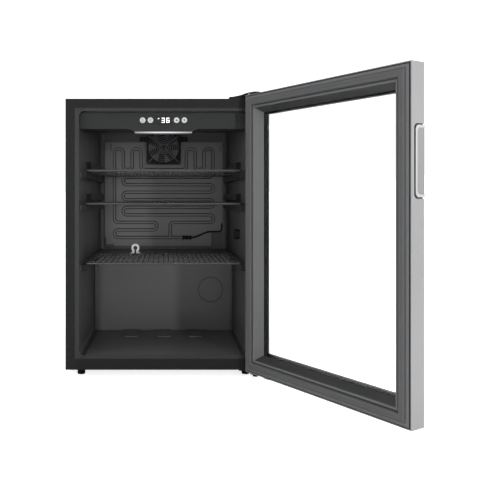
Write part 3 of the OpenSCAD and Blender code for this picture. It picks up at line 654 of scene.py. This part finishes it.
def round_tube(grid, route, radius, sides=16):
    """A round tube along a route in X and Z at one Y."""
    rings = []
    for i, here in enumerate(route):
        ahead = route[min(i + 1, len(route) - 1)] - route[max(i - 1, 0)]
        across = Vector((-ahead.z, 0, ahead.x)).normalized()
        angles = (2 * math.pi * k / sides for k in range(sides))
        spokes = (math.cos(a) * across + math.sin(a) * Vector((0, 1, 0)) for a in angles)
        rings.append([grid.verts.new(here + radius * spoke) for spoke in spokes])
    loft(grid, rings)


def evaporator_joint():
    """The ribbed sleeve where the tubes meet the plate, and the bent tube that leaves it."""
    low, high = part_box("evaporator_joint")
    y = (low.y + high.y) / 2
    middle_z = low.z + SLEEVE_HALF * MM
    start = Vector((low.x + TUBE_START, y, middle_z))
    end = Vector((high.x, y, high.z - TUBE_RADIUS))
    grid = bmesh.new()
    route = []
    for i in range(TUBE_STEPS + 1):
        t = i / TUBE_STEPS
        lift = t * t * (3 - 2 * t)
        x = start.x + (end.x - start.x) * t
        route.append(Vector((x, y, start.z + (end.z - start.z) * lift)))
    round_tube(grid, route, TUBE_RADIUS)
    for k, half in enumerate(SLEEVE_RIBS):
        left = low.x + k * RIB_WIDTH * MM
        outline = bar(left, middle_z - half * MM, left + RIB_WIDTH * MM, middle_z + half * MM)
        prism(grid, outline, low.y + (SLEEVE_HALF - half) * RIB_SETBACK * MM, high.y)
    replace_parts(add_piece("joint_sleeve", grid, "black_rubber", "cabinet"), "evaporator_joint")


def plate_shadow_lines():
    """Painted shadow: thin dark bars near the corners of the evaporator plate, standing for the shade at its
    edges.
    """
    low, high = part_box("evaporator_plate")
    face = high.y - PLATE_THICKNESS
    # Each shadow line's left, bottom, width and height. The last two are in mm.
    shadow_lines = [
        (low.x + 1 * MM, low.z + 1 * MM, 2.2, 24),
        (low.x + 3.2 * MM, low.z + 1 * MM, 24, 2.2),
        (low.x + 17 * MM, high.z - 27 * MM, 1.8, 22),
        (high.x - 8 * MM, high.z - 27 * MM, 1.8, 22),
    ]
    grid = bmesh.new()
    for left, bottom, wide, tall in shadow_lines:
        outline = bar(left, bottom, left + wide * MM, bottom + tall * MM)
        prism(grid, outline, face - SHADOW_LINE_HALF, face + SHADOW_LINE_HALF)
    add_piece("plate_shadow_lines", grid, "black_rubber", "cabinet")


plate_shadow_lines()
for kind in ICONS:
    button_icon(kind)
door_gasket()
evaporator_joint()


# ---------- floor, light and camera ----------

# Half the floor's width and the radius out to which it is flat, in metres. Beyond that radius it
# rises by this much times the square of the distance.
FLOOR_HALF = 9
FLOOR_FLAT = 6.0
FLOOR_RISE = 0.05
# How brightly the floor shows by itself.
FLOOR_GLOW = 0.8

# Each softbox: its place, what it points at, its width and height, and its power in watts.
SOFTBOXES = {
    "left_front": ((-2.4, -1.6, 1.0), (0.2, -0.1, 0.35), (1.2, 1.6), 16),
    "right_side": ((2.8, -0.9, 1.5), (0.4, -0.3, 0.6), (1.6, 2.4), 13.5),
    "left_strip": ((-0.42, -2.8, 0.7), (-0.1, 0.4, 0.3), (0.12, 1.8), 10),
    "right_strip": ((1.5, -2.8, 0.7), (-0.15, 0.4, 0.4), (0.2, 1.8), 30),
}


def aim(obj, heading):
    """Points a light along a heading."""
    obj.rotation_mode = "QUATERNION"
    obj.rotation_quaternion = Vector(heading).to_track_quat("-Z", "Y")


def looked_at(tree):
    """One where a surface is seen directly or through glass, and zero where it only sheds light."""
    path = add(tree, "LightPath")
    return maths(tree, "MAXIMUM", path.outputs["Is Camera Ray"],
                 path.outputs["Is Transmission Ray"])


def studio_floor():
    """A wide pale sheet, drawn up slightly towards its far rim so that it has no hard edge."""
    mesh = bpy.data.meshes.new("studio_floor")
    grid = bmesh.new()
    bmesh.ops.create_grid(grid, x_segments=40, y_segments=40, size=FLOOR_HALF)
    for vert in grid.verts:
        vert.co.z = FLOOR_RISE * max(0.0, vert.co.length - FLOOR_FLAT) ** 2
    grid.to_mesh(mesh)
    grid.free()
    floor = link_new("studio_floor", mesh)
    material, tree, shader = new_material("floor_paint", Roughness=0.9, Specular_IOR_Level=0.1,
                                          Emission_Color=(1, 1, 1, 1))
    fill(tree, shader.inputs["Emission Strength"], product(tree, looked_at(tree), FLOOR_GLOW))
    paint = blend_colour(tree, noise(tree, scale=2, detail=2), (0.9, 0.9, 0.9, 1),
                         (0.92, 0.92, 0.92, 1))
    finish_surface(tree, shader, paint, height=noise(tree, scale=80, detail=2), strength=0.1)
    material.cycles.emission_sampling = "NONE"
    mesh.materials.append(material)


def softbox(name, place_at, target, size, power):
    """A rectangular light that points at a target."""
    light = bpy.data.lights.new(name, "AREA")
    light.shape = "RECTANGLE"
    light.size, light.size_y = size
    light.energy = power
    obj = link_new(name, light)
    obj.location = place_at
    aim(obj, Vector(target) - Vector(place_at))
    return obj


def studio_world(seen, shed):
    """A white surround to look at, which sheds less light than it shows."""
    world = bpy.data.worlds.new("studio")
    bpy.context.scene.world = world
    world.use_nodes = True
    tree = world.node_tree
    back = tree.nodes["Background"]
    back.inputs["Color"].default_value = (1, 1, 1, 1)
    fill(tree, back.inputs["Strength"], switch(tree, looked_at(tree), shed, seen))


def photo_camera():
    """The camera at the photo's viewing angle and framing."""
    camera = bpy.data.cameras.new("camera")
    camera.lens = 48.8
    camera.sensor_width = 36
    camera.shift_x = 0.1567
    camera.shift_y = -0.0888
    camera.clip_start = 0.05
    obj = link_new("camera", camera)
    obj.location = (0.0032, -1.478, 0.4078)
    obj.rotation_euler = (math.radians(90), 0, 0)
    bpy.context.scene.camera = obj


def sunlight(name, power, spread, heading, mirrored=True):
    """Even light from far away along one heading, which may be kept out of reflections."""
    light = bpy.data.lights.new(name, "SUN")
    light.energy = power
    light.angle = math.radians(spread)
    obj = link_new(name, light)
    obj.visible_glossy = mirrored
    obj.location = (0, 0, 4)
    aim(obj, heading)


def led_glow(power):
    """What the light strip sheds down and back into the cavity."""
    low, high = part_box("light_strip")
    lamp = softbox("led_glow", place_at=(0, high.y + 12 * MM, low.z - 4 * MM),
                   target=(0, high.y + 120 * MM, low.z - 250 * MM),
                   size=(130 * MM, 20 * MM), power=power)
    lamp.visible_glossy = False


studio_floor()
studio_world(seen=1.3, shed=0.25)
sunlight("skylight", power=2.0, spread=50, heading=(0, 0, -1))
sunlight("frontlight", power=0.45, spread=14, heading=(-0.08, 1.0, 0.0), mirrored=False)
led_glow(power=0.14)
for title, (place_at, target, size, power) in SOFTBOXES.items():
    softbox(title, place_at, target, size, power)
photo_camera()
bpy.context.scene.view_settings.view_transform = "Standard"
